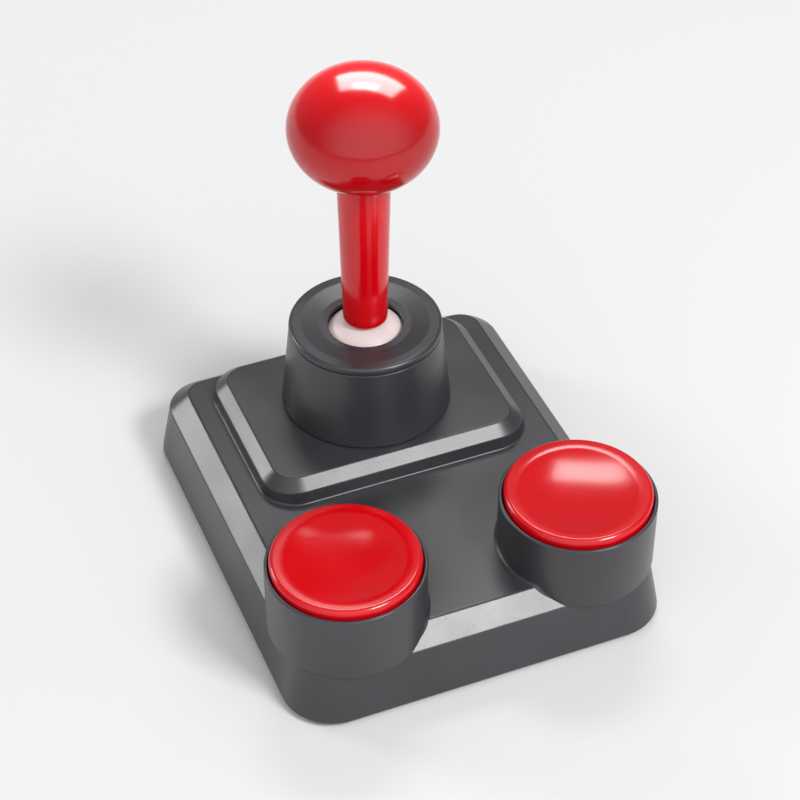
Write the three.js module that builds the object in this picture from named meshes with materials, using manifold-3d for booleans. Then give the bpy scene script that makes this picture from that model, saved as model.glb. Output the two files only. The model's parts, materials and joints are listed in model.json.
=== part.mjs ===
// Two-button arcade joystick: a wedge-sided case with a raised pad, a ball-top stick in a round
// turret and two large fire buttons in round wells. Millimetres, +Z up, buttons towards -Y.
// The origin is on the floor, under the middle of the case.
import * as THREE from "three";
import { mergeVertices } from "three/addons/utils/BufferGeometryUtils.js";
import Module from "manifold-3d";

const wasm = await Module();
wasm.setup();

// ---------------------------------------------------------------- driving sizes
const fit = 0.3; // gap between pieces that rest on or slide in each other
const through = 1; // how far a cutter runs past the face that it opens
const sunk = 1; // how far a joined shape reaches into the one that it stands on

const bodyWidth = 114;
const bodyDepth = 136;
const bodyCorner = 15; // corner radius at the bottom edge
const deckZ = 23; // floor to the flat deck
const footProud = 1.5; // how far the feet stand out below the case
const sideLean = 3.2; // how far the sides lean in below the bevel
const bevelDrop = 5;
const bevelRun = 6;
const wall = 2.5;
const rimWall = 1.3; // thinner wall that wraps the base plate
const basePlateThick = 2.5;

const stickFromBack = 40.5; // stick axis to the back of the case
const padFront = 31.5; // stick axis to the front foot of the raised pad
const padBack = 29.5;
const padSideMargin = 15.5; // side of the case to the foot of the pad
const padHeight = 7;
const padCorner = 11;
const padLean = 0.6; // how far the pad's sides lean in below its bevel
const padBevelDrop = 3;
const padBevelRun = 3.6;

const turretFootRadius = 25.2;
const turretTopRadius = 22.5;
const turretHeight = 25.2;
const turretLedge = 1.1; // step inside the turret that holds the carrier down
const turretNeckGap = 1.7; // uprights to the inside of the turret
const turretCapThick = 2.2;
const turretCapEdge = 1;
const turretCapDish = 0.9;
const snapRingDepth = 2.4;
const snapRingThick = 1.3;

const pivotHeight = 14; // tilt centre above the raised pad
const tiltLimit = THREE.MathUtils.degToRad(8);
const shaftRadius = 4;
const shaftBelow = 35; // tilt centre to the lower tip of the shaft
const shaftAbove = 74.5;
const shaftChamfer = 1;
const sleeveFootRadius = 6.5;
const sleeveTopRadius = 7.7;
const ballCentreAbove = 81.5; // tilt centre to the middle of the ball
const ballRadius = 21;
const ballHalfHeight = 17;
const ballSocketDepth = 3;

const domeShow = 2.5; // how far the dome stands above the middle of the turret cap
const domeGap = 0.5; // dome to the edge of the hole in the turret cap
const domeThick = 1.6;
const domeReach = THREE.MathUtils.degToRad(59.5);

const carrierWall = 2.2;
const carrierHeight = 8.2;
const carrierPlate = 2.5;
const carrierHoleGap = 4; // room for the shaft to swing in the carrier
const gimbalRadius = 11.6;
const gimbalBore = 7.6;
const gimbalHalfHeight = 3.2;
const uprightGap = 0.8; // gimbal to the two uprights
const uprightThick = 3.8;
const uprightHalfWidth = 4.5;
const uprightAbovePin = 3.2;
const pinRadius = 1.45;
const pinInset = 0.8; // ends of the cross pin below the outside of the gimbal

const springRadius = 7.5;
const springWire = 0.6;
const springTurns = 5;
const flangeRadius = 12.3;
const flangeThick = 2;
const flangeBelow = 22; // tilt centre to the middle of the actuator flange
const flangeTaper = 0.8; // how far the flange's rim narrows to either face
const flangeBladeGap = 0.35; // flange to each moving blade, just clear of a touch
const actuatorRadius = 6.2;
const actuatorLength = 10;

const wellRadius = 22.3;
const wellWall = 1.1;
const buttonRise = 19.4; // rim of an unpressed button above the deck
const buttonTravel = 2.5; // a fully pressed button is level with the rim of its well
const buttonSkirt = 8;
const buttonShell = 2;
const buttonDishRadius = 17.2;
const buttonDishDepth = 1.7;
const buttonEdge = 1.2;
const stemRadius = 3;
const stemTipZ = 15.7;
const clipThick = 0.8;
const clipWidth = 2.2;
const buttonSpringRadius = 5.6;
const buttonSpringWire = 0.9;
const buttonSpringTurns = 5;

const boardThick = 1.6;
const boardGap = 1.9; // base plate to the underside of the board
const boardSideMargin = 17;
const boardFrontMargin = 12;
const boardPastStick = 23.5;
const boardScrewMargin = 6.5; // edge of the board to its screws
const boardCorner = 2;
const boardScrewHeadThick = 1.5;
const boardScrewHeadRadius = 2.6;
const gateHeight = 2.2;
const gateHalf = 12;
const bladeThick = 0.5;
const bladeWidth = 6;
const bladeTop = 25;
const contactBlockHeight = 2.9;
const contactBlockHalf = 3.5;
const contactBlockMargin = 1.5; // fixed blade to the end of its block
const bladeSwing = 4.2; // moving blade to the fixed blade behind it
const fireLever = 16.2; // root of a fire contact to the button axis
const fireBlockLength = 6;
const fireBlockHalf = 4;
const fireBladePast = 2; // button axis to the tip of the moving blade
const fireFixedHeight = 4; // board to the fixed blade
const fireFixedReach = 9.7; // root to the tip of the fixed blade

const headerSize = 6; // cable header: depth, height and half its length
const headerGap = 1.2; // direction contact to the header
const headerPastStick = 4;

const screwRadius = 1.4;
const screwHeadRadius = 3;
const screwHeadThick = 1.2;
const screwEndGap = 1; // tip of a screw to the end of its hole
const bossRadius = 3.5;
const bossSideMargin = 12.5; // edge of the case to a screw boss
const bossBackMargin = 30;
const bossPastWell = 31; // button axis to the front bosses
const footRadius = 6;
const footRecess = 1.4;
const footMargin = 15; // edge of the case to a foot's centre
const footChamfer = 0.8;
const cableBore = 2.3;
const grommetRadius = 4.2;
const grommetFlange = 5.4;
const grommetFlangeThick = 0.8;
const grommetZ = 10.5;

const arcSteps = 3; // each corner gets twice as many facets
const fineRound = 36;
const round = 24;
const smallRound = 12;

// ---------------------------------------------------------------- sizes that follow
const halfWidth = bodyWidth / 2;
const halfDepth = bodyDepth / 2;
const bottomZ = footProud;
const plateTopZ = bottomZ + basePlateThick;
const shoulderZ = deckZ - bevelDrop;
const padZ = deckZ + padHeight;
const stickY = halfDepth - stickFromBack;
const pivotZ = padZ + pivotHeight;
const turretZ = padZ + fit;
const turretTopZ = turretZ + turretHeight;
const capZ = turretTopZ + fit;
const capTopZ = capZ + turretCapThick;
const domeRadius = capTopZ - turretCapDish - pivotZ + domeShow; // a sphere round the tilt centre
const turretCapHole = Math.sqrt((domeRadius + domeGap) ** 2 - (capZ - pivotZ) ** 2);
const uprightInner = gimbalRadius + uprightGap;
const uprightOuter = uprightInner + uprightThick;
const turretNeckBore = uprightOuter + turretNeckGap;
const turretBore = turretNeckBore + turretLedge;
const carrierRadius = turretBore - 2 * fit;
const carrierZ = padZ + fit;
const carrierTopZ = carrierZ + carrierHeight;
const wellX = halfWidth - wellRadius;
const wellY = wellRadius - halfDepth;
const wellBore = wellRadius - wellWall;
const buttonRadius = wellBore - fit;
const buttonRimZ = deckZ + buttonRise;
const wellTopZ = buttonRimZ - buttonTravel;
const capUnderZ = buttonRimZ - buttonDishDepth - buttonShell;
const boardZ = plateTopZ + boardGap + fit;
const boardTopZ = boardZ + boardThick;
const onBoardZ = boardTopZ + fit;
const boardHalfWidth = halfWidth - boardSideMargin;
const bladeRootZ = onBoardZ + contactBlockHeight + fit;
const bladeX = flangeRadius + flangeBladeGap;
const sideSlope = sideLean / (shoulderZ - bottomZ);

/** How far the outside of the case leans in at a height between its bottom and the bevel. */
const leanAt = (z) => (z - bottomZ) * sideSlope;

const rightAndLeft = [[1, "right"], [-1, "left"]];
const buttonSpots = rightAndLeft.map(([side, name]) => [name, side * wellX, wellY]);
const bossX = halfWidth - bossSideMargin;
const caseScrewSpots = [
  ["front_left", -bossX, wellY + bossPastWell],
  ["front_right", bossX, wellY + bossPastWell],
  ["back_left", -bossX, halfDepth - bossBackMargin],
  ["back_right", bossX, halfDepth - bossBackMargin],
];
const boardScrewX = boardHalfWidth - boardScrewMargin;
const boardScrewSpots = [
  ["front_left", -boardScrewX, wellY + wellRadius],
  ["front_right", boardScrewX, wellY + wellRadius],
  ["back_left", -boardScrewX, stickY + boardPastStick - boardScrewMargin],
  ["back_right", boardScrewX, stickY + boardPastStick - boardScrewMargin],
];
const turretScrewRadius = (turretBore + turretFootRadius) / 2;
const turretScrewSpots = ["back_right", "back_left", "front_left", "front_right"].map((name, i) => {
  const angle = (i + 0.5) * (Math.PI / 2);
  return [name, turretScrewRadius * Math.cos(angle), stickY + turretScrewRadius * Math.sin(angle)];
});
const footSpots = [
  ["front_left", footMargin - halfWidth, footMargin - halfDepth],
  ["front_right", halfWidth - footMargin, footMargin - halfDepth],
  ["back_left", footMargin - halfWidth, halfDepth - footMargin],
  ["back_right", halfWidth - footMargin, halfDepth - footMargin],
];

// ---------------------------------------------------------------- finishes
const plastic = (color, roughness) => new THREE.MeshStandardMaterial({ color, roughness, metalness: 0 });
const metal = (color, roughness) => new THREE.MeshStandardMaterial({ color, roughness, metalness: 1 });
const casePlastic = plastic(0x4a4a4e, 0.35);
const redPlastic = plastic(0xc60a18, 0.25);
const paleNylon = plastic(0xe6d9da, 0.45);
const blackRubber = plastic(0x1c1c1d, 0.9);
const blackNylon = plastic(0x29292b, 0.6);
const boardGreen = plastic(0x2f5d3a, 0.5);
const insulator = plastic(0x3a2f26, 0.6);
const steel = metal(0xb9bcc0, 0.3);
const zinc = metal(0xa7a9a6, 0.45);
const contactBrass = metal(0xc9a558, 0.35);

// ---------------------------------------------------------------- shape helpers
/** A closed three.js geometry as a solid; facets that collapse on an axis are dropped. */
function solid(geometry) {
  const bare = geometry.clone();
  bare.deleteAttribute("normal");
  bare.deleteAttribute("uv");
  const merged = mergeVertices(bare, 1e-5);
  const { array } = merged.index;
  const kept = [];
  for (let i = 0; i < array.length; i += 3) {
    const [a, b, c] = [array[i], array[i + 1], array[i + 2]];
    if (a !== b && b !== c && c !== a) kept.push(a, b, c);
  }
  const vertProperties = Float32Array.from(merged.attributes.position.array);
  return new wasm.Manifold(new wasm.Mesh({ numProp: 3, vertProperties, triVerts: Uint32Array.from(kept) }));
}

/** A solid back as a three.js geometry. */
function geometryOf(body) {
  const mesh = body.getMesh();
  const geometry = new THREE.BufferGeometry();
  geometry.setAttribute("position", new THREE.BufferAttribute(mesh.vertProperties, 3));
  geometry.setIndex(new THREE.BufferAttribute(mesh.triVerts, 1));
  return geometry;
}

const join = (first, ...others) => others.reduce((sum, other) => sum.add(other), first);
const cut = (first, ...others) => others.reduce((rest, other) => rest.subtract(other), first);

/** A profile of [radius, height] points, anticlockwise, turned round the Z axis. */
function turned(profile, segments = round) {
  const points = [...profile, profile[0]].map(([radius, height]) => new THREE.Vector2(radius, height));
  return solid(new THREE.LatheGeometry(points, segments).rotateX(Math.PI / 2));
}

/** Three points that round the upper outer edge of a turned profile. */
function roundedEdge(radius, z, edge) {
  const middle = edge * (1 - Math.SQRT1_2);
  return [[radius, z - edge], [radius - middle, z - middle], [radius - edge, z]];
}

/** An upright disc, or a cone where the upper radius differs. */
function disc(x, y, radius, z0, z1, segments = round, upperRadius = radius) {
  const geometry = new THREE.CylinderGeometry(upperRadius, radius, z1 - z0, segments);
  return solid(geometry.rotateX(Math.PI / 2).translate(x, y, (z0 + z1) / 2));
}

/** The same disc at each [name, x, y] spot. */
const discsAt = (spots, ...size) => spots.map(([, x, y]) => disc(x, y, ...size));

/** A pin along X or Y, centred on a point. */
function pin(axis, radius, length, x, y, z, segments = smallRound) {
  const geometry = new THREE.CylinderGeometry(radius, radius, length, segments);
  if (axis === "x") geometry.rotateZ(Math.PI / 2);
  return solid(geometry.translate(x, y, z));
}

/** A box between two corners. */
function block(x0, x1, y0, y1, z0, z1) {
  const geometry = new THREE.BoxGeometry(x1 - x0, y1 - y0, z1 - z0);
  return solid(geometry.translate((x0 + x1) / 2, (y0 + y1) / 2, (z0 + z1) / 2));
}

/** A rectangle with round corners, between two corners. */
function roundedOutline(x0, x1, y0, y1, radius) {
  const outline = new THREE.Shape();
  outline.absarc(x1 - radius, y0 + radius, radius, -Math.PI / 2, 0);
  outline.absarc(x1 - radius, y1 - radius, radius, 0, Math.PI / 2);
  outline.absarc(x0 + radius, y1 - radius, radius, Math.PI / 2, Math.PI);
  outline.absarc(x0 + radius, y0 + radius, radius, Math.PI, 1.5 * Math.PI);
  return outline;
}

/**
 * A round-cornered block whose sides step in with height: levels is a list of [height, inset].
 * Each corner keeps its centre and its radius shrinks by the inset.
 */
function leaningBlock(x0, x1, y0, y1, radius, levels) {
  const steps = levels.length - 1;
  const outline = roundedOutline(x0, x1, y0, y1, radius);
  const options = { depth: steps, steps, bevelEnabled: false, curveSegments: arcSteps };
  const geometry = new THREE.ExtrudeGeometry(outline, options);
  const place = geometry.attributes.position;
  for (let i = 0; i < place.count; i += 1) {
    const centreX = place.getX(i) > (x0 + x1) / 2 ? x1 - radius : x0 + radius;
    const centreY = place.getY(i) > (y0 + y1) / 2 ? y1 - radius : y0 + radius;
    const [height, inset] = levels[Math.round(place.getZ(i))];
    const share = (radius - inset) / radius;
    const x = centreX + (place.getX(i) - centreX) * share;
    const y = centreY + (place.getY(i) - centreY) * share;
    place.setXYZ(i, x, y, height);
  }
  return solid(geometry);
}

/** A round wire wound round the Z axis. */
class Winding extends THREE.Curve {
  constructor(radius, z0, z1, turns) {
    super();
    Object.assign(this, { radius, z0, z1, turns });
  }

  getPoint(t, target = new THREE.Vector3()) {
    const angle = 2 * Math.PI * this.turns * t;
    const z = this.z0 + (this.z1 - this.z0) * t;
    return target.set(this.radius * Math.cos(angle), this.radius * Math.sin(angle), z);
  }
}

function coilSpring(radius, wire, z0, z1, turns) {
  const section = new THREE.Shape().absarc(0, 0, wire, 0, 2 * Math.PI);
  const extrudePath = new Winding(radius, z0 + wire, z1 - wire, turns);
  const options = { extrudePath, steps: turns * 12, curveSegments: 3, bevelEnabled: false };
  return solid(new THREE.ExtrudeGeometry(section, options));
}

const model = new THREE.Group();

/** Adds one named piece to a group. */
function piece(group, name, body, material) {
  const mesh = new THREE.Mesh(geometryOf(body), material);
  mesh.name = name;
  group.add(mesh);
  return mesh;
}

// ---------------------------------------------------------------- case
/** The outside of the case: leaning sides, a broad bevel and the raised pad. */
function caseOutside() {
  const sides = leaningBlock(-halfWidth, halfWidth, -halfDepth, halfDepth, bodyCorner, [
    [bottomZ, 0],
    [shoulderZ, sideLean],
    [deckZ, sideLean + bevelRun],
  ]);
  const pad = leaningBlock(
    padSideMargin - halfWidth, halfWidth - padSideMargin, stickY - padFront, stickY + padBack, padCorner,
    [[deckZ - wall / 2, 0], [padZ - padBevelDrop, padLean], [padZ, padLean + padBevelRun]],
  );
  const wells = discsAt(buttonSpots, wellRadius, shoulderZ, wellTopZ, fineRound);
  return join(sides, pad, ...wells);
}

/** The hollow inside the case, with the rebate that takes the base plate. */
function caseHollow() {
  const seatZ = plateTopZ + fit;
  const main = leaningBlock(-halfWidth, halfWidth, -halfDepth, halfDepth, bodyCorner, [
    [seatZ - through, leanAt(seatZ) + wall],
    [shoulderZ - wall / 2, leanAt(shoulderZ - wall / 2) + wall],
    [deckZ - wall, sideLean + bevelRun + wall / 3],
  ]);
  const rebateInset = leanAt(seatZ) + rimWall;
  const rebate = leaningBlock(-halfWidth, halfWidth, -halfDepth, halfDepth, bodyCorner, [
    [bottomZ - through, rebateInset],
    [seatZ, rebateInset],
  ]);
  const underPad = leaningBlock(
    padSideMargin + wall - halfWidth, halfWidth - padSideMargin - wall,
    stickY - padFront + wall, stickY + padBack - wall, padCorner - wall,
    [[deckZ - wall - through, 0], [padZ - wall, padLean + padBevelRun / 2]],
  );
  return join(main, rebate, underPad);
}

/** A turned cutter for the wall that leans in at the back, square to that wall. */
function throughBackWall(radius, length, segments) {
  const geometry = new THREE.CylinderGeometry(radius, radius, length, segments);
  geometry.rotateX(Math.atan(sideSlope));
  return solid(geometry.translate(0, halfDepth - leanAt(grommetZ) - wall / 2, grommetZ));
}

function makeTopCase() {
  const bosses = discsAt(caseScrewSpots, bossRadius, plateTopZ + fit, deckZ - wall / 2, smallRound);
  const threadRadius = screwRadius + fit;
  const stickHole = disc(0, stickY, gimbalRadius + 2 * uprightGap, deckZ, padZ + through, round);
  return cut(
    join(cut(caseOutside(), caseHollow()), ...bosses),
    ...discsAt(caseScrewSpots, threadRadius, plateTopZ, deckZ - 2 * wall, smallRound),
    ...discsAt(buttonSpots, wellBore, deckZ, wellTopZ + through, fineRound),
    ...discsAt(buttonSpots, stemRadius + fit, shoulderZ, deckZ + through, round),
    ...discsAt(turretScrewSpots, threadRadius, padZ - 2 * wall, padZ + through, smallRound),
    stickHole,
    throughBackWall(grommetRadius + fit, 6 * wall, round),
  );
}

function makeBasePlate() {
  const inset = leanAt(plateTopZ + fit) + rimWall + fit;
  const plate = leaningBlock(-halfWidth, halfWidth, -halfDepth, halfDepth, bodyCorner, [
    [bottomZ, inset],
    [plateTopZ, inset],
  ]);
  const posts = discsAt(boardScrewSpots, bossRadius, plateTopZ - sunk, boardZ - fit, smallRound);
  const threadRadius = screwRadius + fit;
  const underside = bottomZ - through;
  return cut(
    join(plate, ...posts),
    ...discsAt(boardScrewSpots, threadRadius, bottomZ + basePlateThick / 2, boardZ, smallRound),
    ...discsAt(caseScrewSpots, threadRadius, underside, plateTopZ + through, smallRound),
    ...discsAt(caseScrewSpots, screwHeadRadius + fit, underside, bottomZ + screwHeadThick + fit, round),
    ...discsAt(footSpots, footRadius + fit, underside, bottomZ + footRecess, round),
  );
}

/** A pan-head screw standing head down; its seat is at height zero. */
function screw(length, headThick = screwHeadThick, headRadius = screwHeadRadius) {
  return turned([
    [0, -headThick],
    [headRadius, -headThick],
    [headRadius, 0],
    [screwRadius, 0],
    [screwRadius, length - screwRadius],
    [0, length],
  ], smallRound);
}

const caseGroup = new THREE.Group();
model.add(caseGroup);
piece(caseGroup, "top_case", makeTopCase(), casePlastic);
piece(caseGroup, "base_plate", makeBasePlate(), blackNylon);

for (const [name, x, y] of footSpots) {
  const foot = turned([
    [0, 0],
    [footRadius - footChamfer, 0],
    [footRadius, footChamfer],
    [footRadius, footProud + footRecess - fit],
    [0, footProud + footRecess - fit],
  ], round);
  piece(caseGroup, `foot_${name}`, foot, blackRubber).position.set(x, y, 0);
}
for (const [name, x, y] of caseScrewSpots) {
  const length = deckZ - 2 * wall - bottomZ - screwHeadThick - screwEndGap;
  piece(caseGroup, `case_screw_${name}`, screw(length), zinc).position.set(x, y, bottomZ + screwHeadThick);
}

// ---------------------------------------------------------------- turret
function makeTurret() {
  const ledgeZ = carrierTopZ + fit;
  const shell = turned([
    [turretBore, turretZ],
    [turretFootRadius, turretZ],
    [turretTopRadius, turretTopZ],
    [turretNeckBore, turretTopZ],
    [turretNeckBore, ledgeZ],
    [turretBore, ledgeZ],
  ], fineRound);
  const spots = turretScrewSpots.map(([name, x, y]) => [name, x, y - stickY]);
  return cut(shell, ...discsAt(spots, screwRadius + fit, turretZ - through, carrierTopZ, smallRound));
}

function makeTurretCap() {
  const ringRadius = turretNeckBore - fit;
  return turned([
    [turretCapHole, capZ],
    [ringRadius - snapRingThick, capZ],
    [ringRadius - snapRingThick, capZ - snapRingDepth],
    [ringRadius, capZ - snapRingDepth],
    [ringRadius, capZ],
    [turretTopRadius, capZ],
    ...roundedEdge(turretTopRadius, capTopZ, turretCapEdge),
    [turretTopRadius - 3 * turretCapEdge, capTopZ],
    [turretCapHole, capTopZ - turretCapDish],
  ], fineRound);
}

function makeCarrier() {
  const cup = turned([
    [carrierRadius - carrierWall, carrierZ],
    [carrierRadius, carrierZ],
    [carrierRadius, carrierTopZ],
    [shaftRadius + carrierHoleGap, carrierTopZ],
    [shaftRadius + carrierHoleGap, carrierTopZ - carrierPlate],
    [carrierRadius - carrierWall, carrierTopZ - carrierPlate],
  ], round);
  const uprights = rightAndLeft.map(([side]) => {
    const [x0, x1] = [side * uprightInner, side * uprightOuter].sort((a, b) => a - b);
    return block(x0, x1, -uprightHalfWidth, uprightHalfWidth, carrierTopZ - sunk, pivotZ + uprightAbovePin);
  });
  const pinHole = pin("x", pinRadius + fit, 2 * carrierRadius, 0, 0, pivotZ);
  return cut(join(cup, ...uprights), pinHole);
}

const turretGroup = new THREE.Group();
turretGroup.position.set(0, stickY, 0);
model.add(turretGroup);
piece(turretGroup, "stick_turret", makeTurret(), casePlastic);
piece(turretGroup, "turret_cap", makeTurretCap(), casePlastic);
piece(turretGroup, "pivot_carrier", makeCarrier(), blackNylon);
for (const [name, x, y] of turretScrewSpots) {
  const length = carrierTopZ - (padZ - wall) - screwEndGap;
  piece(caseGroup, `turret_screw_${name}`, screw(length), zinc).position.set(x, y, padZ - wall - fit);
}

// ---------------------------------------------------------------- gimbal and stick
const pivotGroup = new THREE.Group();
pivotGroup.position.set(0, stickY, pivotZ);
model.add(pivotGroup);

const gimbalRing = cut(
  turned([
    [gimbalBore, -gimbalHalfHeight],
    [gimbalRadius, -gimbalHalfHeight],
    [gimbalRadius, gimbalHalfHeight],
    [gimbalBore, gimbalHalfHeight],
  ], round),
  pin("x", pinRadius + fit, 3 * gimbalRadius, 0, 0, 0),
  pin("y", pinRadius + fit, 3 * gimbalRadius, 0, 0, 0),
);
piece(pivotGroup, "gimbal_ring", gimbalRing, blackNylon);
for (const [side, name] of rightAndLeft) {
  const pinInner = gimbalBore + 2 * fit;
  const gimbalPin = pin("x", pinRadius, uprightOuter - pinInner, side * (pinInner + uprightOuter) / 2, 0, 0);
  piece(pivotGroup, `gimbal_pin_${name}`, gimbalPin, steel);
}

const sleeveZ = domeRadius; // all heights from here on are above the tilt centre
const ballBottom = ballCentreAbove - ballHalfHeight;
const sleeveTop = ballBottom + ballSocketDepth;

function makeShaft() {
  const rod = turned([
    [0, -shaftBelow],
    [shaftRadius - shaftChamfer, -shaftBelow],
    [shaftRadius, shaftChamfer - shaftBelow],
    [shaftRadius, shaftAbove - shaftChamfer],
    [shaftRadius - shaftChamfer, shaftAbove],
    [0, shaftAbove],
  ]);
  return cut(rod, pin("y", pinRadius + fit, 3 * shaftRadius, 0, 0, 0));
}

function makeSleeve() {
  return turned([
    [shaftRadius + fit, sleeveZ],
    [sleeveFootRadius, sleeveZ],
    [sleeveTopRadius, sleeveTop],
    [shaftRadius + fit, sleeveTop],
  ], round);
}

function makeBall() {
  const rows = 14;
  const profile = [];
  for (let i = 0; i <= rows; i += 1) {
    const angle = (i / rows - 0.5) * Math.PI;
    profile.push([ballRadius * Math.cos(angle), ballCentreAbove + ballHalfHeight * Math.sin(angle)]);
  }
  const socket = disc(0, 0, sleeveTopRadius + fit, ballBottom - through, sleeveTop + fit, round);
  const bore = disc(0, 0, shaftRadius + fit, ballBottom, shaftAbove + fit);
  return cut(turned(profile, fineRound), socket, bore);
}

/** A pale cap of a sphere round the tilt centre, so it fills the turret's hole at every tilt. */
function makeDome() {
  const rows = 5;
  const bore = shaftRadius + fit;
  const arc = (radius, angle) => [radius * Math.sin(angle), radius * Math.cos(angle)];
  const profile = [];
  for (let i = 0; i <= rows; i += 1) {
    profile.push(arc(domeRadius, domeReach * (1 - i / rows)));
  }
  const crown = profile.filter(([radius]) => radius > bore);
  const inner = domeRadius - domeThick;
  const innerStart = Math.asin(bore / inner);
  const inside = [];
  for (let i = 0; i <= rows; i += 1) {
    inside.push(arc(inner, innerStart + (domeReach - innerStart) * (i / rows)));
  }
  const flat = domeRadius - fit;
  const lowered = crown.map(([radius, height]) => [radius, Math.min(height, flat)]);
  return turned([...lowered, [bore, flat], ...inside], fineRound);
}

const flangeTop = -flangeBelow + flangeThick / 2;
const flangeFoot = -flangeBelow - flangeThick / 2;

function makeActuator() {
  return turned([
    [shaftRadius + fit, -flangeBelow - actuatorLength],
    [actuatorRadius, -flangeBelow - actuatorLength],
    [actuatorRadius, flangeFoot],
    [flangeRadius - flangeTaper, flangeFoot],
    [flangeRadius, -flangeBelow],
    [flangeRadius - flangeTaper, flangeTop],
    [shaftRadius + fit, flangeTop],
  ], round);
}

piece(pivotGroup, "pivot_pin", pin("y", pinRadius, 2 * (gimbalRadius - pinInset), 0, 0, 0), steel);
piece(pivotGroup, "steel_shaft", makeShaft(), steel);
piece(pivotGroup, "shaft_sleeve", makeSleeve(), redPlastic);
piece(pivotGroup, "ball_knob", makeBall(), redPlastic);
piece(pivotGroup, "dust_dome", makeDome(), paleNylon);
piece(pivotGroup, "actuator", makeActuator(), blackNylon);
const springTop = carrierTopZ - carrierPlate - pivotZ - fit;
const centringSpring = coilSpring(springRadius, springWire, flangeTop + fit, springTop, springTurns);
piece(pivotGroup, "centring_spring", centringSpring, steel);

// ---------------------------------------------------------------- buttons
/** A pushbutton cap: round-tipped stem, hollow underside, skirt and a dished top. */
function makeButton() {
  const stemTip = [1, 2, 3].map((step) => {
    const angle = (step * Math.PI) / 6;
    return [stemRadius * Math.sin(angle), stemTipZ + stemRadius * (1 - Math.cos(angle))];
  });
  const rows = 5;
  const dish = [];
  for (let i = 0; i <= rows; i += 1) {
    const share = 1 - i / rows;
    dish.push([buttonDishRadius * share, buttonRimZ - buttonDishDepth * (1 - share * share)]);
  }
  return turned([
    [0, stemTipZ],
    ...stemTip,
    [stemRadius, capUnderZ],
    [buttonRadius - buttonShell, capUnderZ],
    [buttonRadius - buttonShell, buttonRimZ - buttonSkirt],
    [buttonRadius, buttonRimZ - buttonSkirt],
    ...roundedEdge(buttonRadius, buttonRimZ, buttonEdge),
    ...dish,
  ], fineRound);
}

const clipZ = deckZ - wall - fit;
const buttonClip = turned([
  [stemRadius + fit, clipZ - clipThick],
  [stemRadius + fit + clipWidth, clipZ - clipThick],
  [stemRadius + fit + clipWidth, clipZ],
  [stemRadius + fit, clipZ],
]);
const buttonSpring = coilSpring(
  buttonSpringRadius, buttonSpringWire, deckZ + fit, capUnderZ - fit, buttonSpringTurns,
);
for (const [side, name] of rightAndLeft) {
  const buttonGroup = new THREE.Group();
  buttonGroup.position.set(side * wellX, wellY, 0);
  model.add(buttonGroup);
  piece(buttonGroup, `button_cap_${name}`, makeButton(), redPlastic);
  piece(buttonGroup, `button_clip_${name}`, buttonClip, steel);
  piece(buttonGroup, `button_spring_${name}`, buttonSpring, steel);
}

// ---------------------------------------------------------------- electrics
function makeBoard() {
  const board = leaningBlock(
    -boardHalfWidth, boardHalfWidth, boardFrontMargin - halfDepth, stickY + boardPastStick, boardCorner,
    [[boardZ, 0], [boardTopZ, 0]],
  );
  const [z0, z1] = [boardZ - through, boardTopZ + through];
  return cut(board, ...discsAt(boardScrewSpots, screwRadius + fit, z0, z1, smallRound));
}

piece(caseGroup, "circuit_board", makeBoard(), boardGreen);
const boardScrewLength = onBoardZ - bottomZ - basePlateThick / 2 - screwEndGap;
const boardScrewBody = screw(boardScrewLength, boardScrewHeadThick, boardScrewHeadRadius);
for (const [name, x, y] of boardScrewSpots) {
  const boardScrew = piece(caseGroup, `board_screw_${name}`, boardScrewBody, zinc);
  boardScrew.position.set(x, y, onBoardZ);
  boardScrew.rotation.x = Math.PI;
}

/** A square hole stops the shaft's tip at its full tilt on both axes. */
function makeGate() {
  const reach = Math.sin(tiltLimit) * (pivotZ - onBoardZ) + shaftRadius + 2 * fit;
  return cut(
    block(-gateHalf, gateHalf, -gateHalf, gateHalf, onBoardZ, onBoardZ + gateHeight),
    block(-reach, reach, -reach, reach, onBoardZ - through, onBoardZ + gateHeight + through),
  );
}

/** Insulating block with the outer, fixed blade of one direction contact, towards +X. */
function makeContactStack() {
  const x0 = gateHalf + fit;
  const blockTop = onBoardZ + contactBlockHeight;
  const outerBladeX = bladeX + bladeSwing;
  const x1 = outerBladeX + bladeThick + contactBlockMargin;
  return join(
    block(x0, x1, -contactBlockHalf, contactBlockHalf, onBoardZ, blockTop),
    block(outerBladeX, outerBladeX + bladeThick, -bladeWidth / 2, bladeWidth / 2, blockTop - sunk, bladeTop),
  );
}

const contactGroup = new THREE.Group();
contactGroup.position.set(0, stickY, 0);
model.add(contactGroup);
piece(contactGroup, "restrictor_gate", makeGate(), paleNylon);
["right", "back", "left", "front"].forEach((name, i) => {
  const corner = new THREE.Group();
  corner.rotation.z = i * (Math.PI / 2);
  contactGroup.add(corner);
  piece(corner, `contact_stack_${name}`, makeContactStack(), insulator);
  const blade = block(bladeX, bladeX + bladeThick, -bladeWidth / 2, bladeWidth / 2, bladeRootZ, bladeTop);
  piece(corner, `leaf_blade_${name}`, blade, contactBrass);
});

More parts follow.
